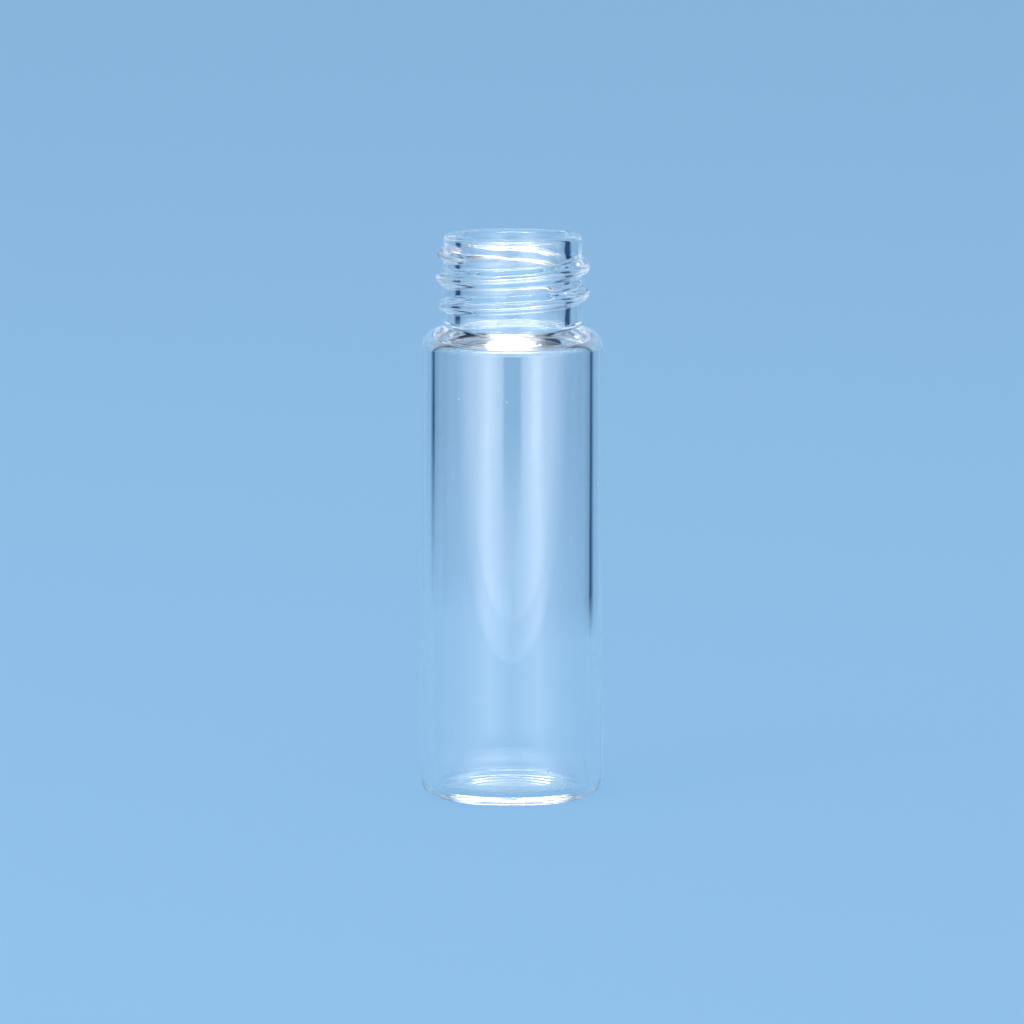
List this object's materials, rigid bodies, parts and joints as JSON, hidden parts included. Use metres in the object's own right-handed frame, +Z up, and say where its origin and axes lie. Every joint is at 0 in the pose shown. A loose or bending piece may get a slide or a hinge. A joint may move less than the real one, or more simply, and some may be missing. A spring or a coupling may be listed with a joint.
{
  "type": "glass sample vial",
  "caption": "Clear glass sample vial, open and empty: a straight tubular body with a flat base, a rounded shoulder and a narrower neck with a moulded screw thread.",
  "frame": {"origin": "centre of the base, on the surface that the vial stands on", "axes": "+Z up along the vial's axis, from the base to the mouth; +X to the right and +Y away from someone who faces the side where both turns of the thread rise to the right"},
  "size_m": [0.0147, 0.0146, 0.046],
  "materials": {
    "glass": "clear borosilicate, fire-polished"
  },
  "bodies": {
    "root": {"vial": "glass"}
  },
  "joints": []
}
